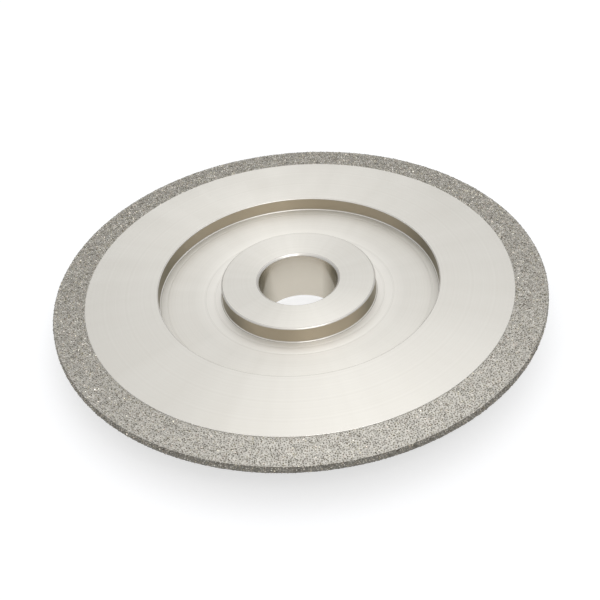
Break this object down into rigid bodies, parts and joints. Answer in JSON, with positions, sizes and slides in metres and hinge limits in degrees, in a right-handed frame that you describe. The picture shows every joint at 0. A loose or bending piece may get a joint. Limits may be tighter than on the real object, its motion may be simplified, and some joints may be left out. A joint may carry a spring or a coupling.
{
  "type": "diamond grinding wheel",
  "caption": "Thin dish-shaped grinding wheel: turned steel body with a hub, a bore and a front recess, and a bevelled rim plated with diamond grit.",
  "frame": {"origin": "on the bore axis, in the plane of the back clamping face", "axes": "+Z along the bore axis, from the back clamping face to the front hub face"},
  "size_m": [0.125, 0.125, 0.014],
  "materials": {
    "core_steel": "fine turned steel with a thin bright nickel flash",
    "nickel_plate": "matt electroplated nickel, lumpy between the grains",
    "diamond_grit": "single layer of diamond grains, grey and glinting"
  },
  "bodies": {
    "root": {"wheel_core": "core_steel", "nickel_bond": "nickel_plate", "diamond_grit_face": "diamond_grit", "diamond_grit_edge": "diamond_grit", "diamond_grit_back": "diamond_grit"}
  },
  "joints": []
}
